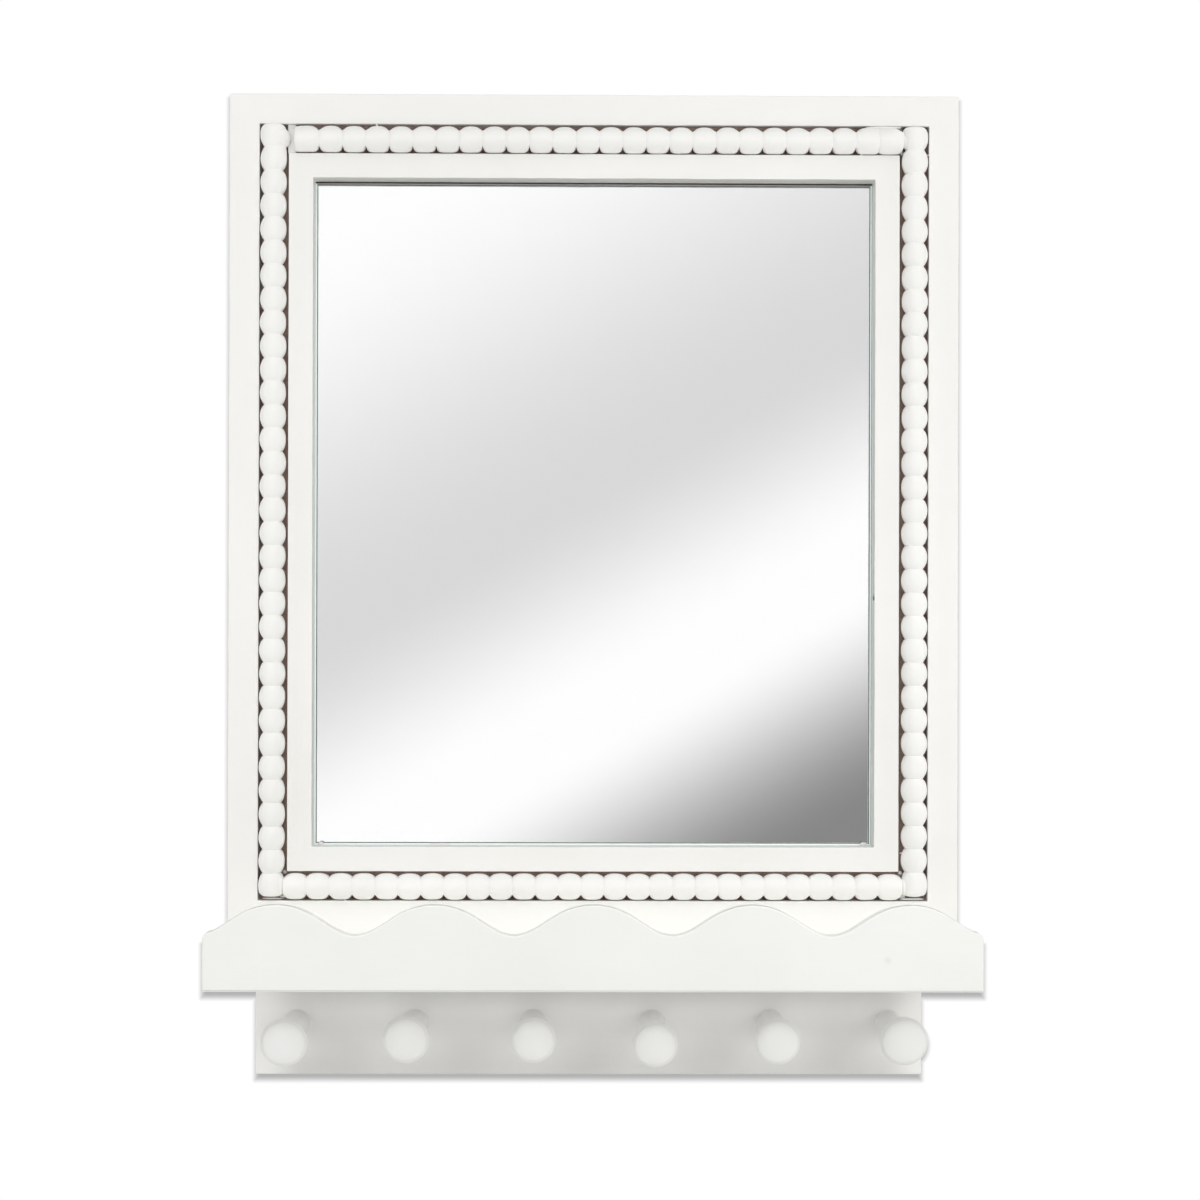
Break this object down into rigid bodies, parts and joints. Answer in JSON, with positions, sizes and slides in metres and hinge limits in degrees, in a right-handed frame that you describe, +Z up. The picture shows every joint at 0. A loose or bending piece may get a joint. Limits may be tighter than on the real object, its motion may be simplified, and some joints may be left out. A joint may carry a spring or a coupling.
{
  "type": "wall mirror with shelf and peg hooks",
  "caption": "Wall mirror in a flat white frame with an inlaid bead border, above a scalloped tray shelf and a rail of turned pegs for hanging things.",
  "frame": {"origin": "on the back plane, midway between the entry holes of the two keyhole hangers", "axes": "+Z up the wall, +X to the right as seen from the front, +Y into the wall; the mirror faces -Y"},
  "size_m": [0.3982, 0.121, 0.534],
  "materials": {
    "white_board": "off-white satin paint on flat board, edges eased by the paint",
    "white_bead": "off-white paint on turned wood, thick in the grooves",
    "white_peg": "off-white paint on turned wood",
    "brown_core": "bare dark brown board in the channel, painted off-white elsewhere",
    "hardboard": "brown hardboard, unpainted",
    "mirror": "silvered float glass with a slightly green ground edge",
    "foam_tape": "white closed-cell foam",
    "bare_wood": "bare beech",
    "plated_steel": "zinc plated"
  },
  "bodies": {
    "root": {"core_stile_left": "brown_core", "core_stile_right": "brown_core", "core_rail_top": "brown_core", "core_rail_bottom": "brown_core", "corner_dowels": "bare_wood", "back_panel": "hardboard", "back_panel_screws": "plated_steel", "outer_strip_left": "white_board", "outer_strip_right": "white_board", "outer_strip_top": "white_board", "outer_strip_bottom": "white_board", "inner_strip_left": "white_board", "inner_strip_right": "white_board", "inner_strip_top": "white_board", "inner_strip_bottom": "white_board", "bead_strip_left": "white_bead", "bead_strip_right": "white_bead", "bead_strip_top": "white_bead", "bead_strip_bottom": "white_bead", "mirror_pane": "mirror", "mirror_tape": "foam_tape", "shelf_board": "white_board", "scalloped_front": "white_board", "front_brads": "plated_steel", "end_lip_left": "white_board", "end_lip_right": "white_board", "lip_brads": "plated_steel", "frame_dowels": "bare_wood", "rail_screws": "plated_steel", "peg_rail": "white_board", "peg_1": "white_peg", "peg_2": "white_peg", "peg_3": "white_peg", "peg_4": "white_peg", "peg_5": "white_peg", "peg_6": "white_peg", "hanger_left": "plated_steel", "hanger_right": "plated_steel", "hanger_screws": "plated_steel"}
  },
  "joints": []
}
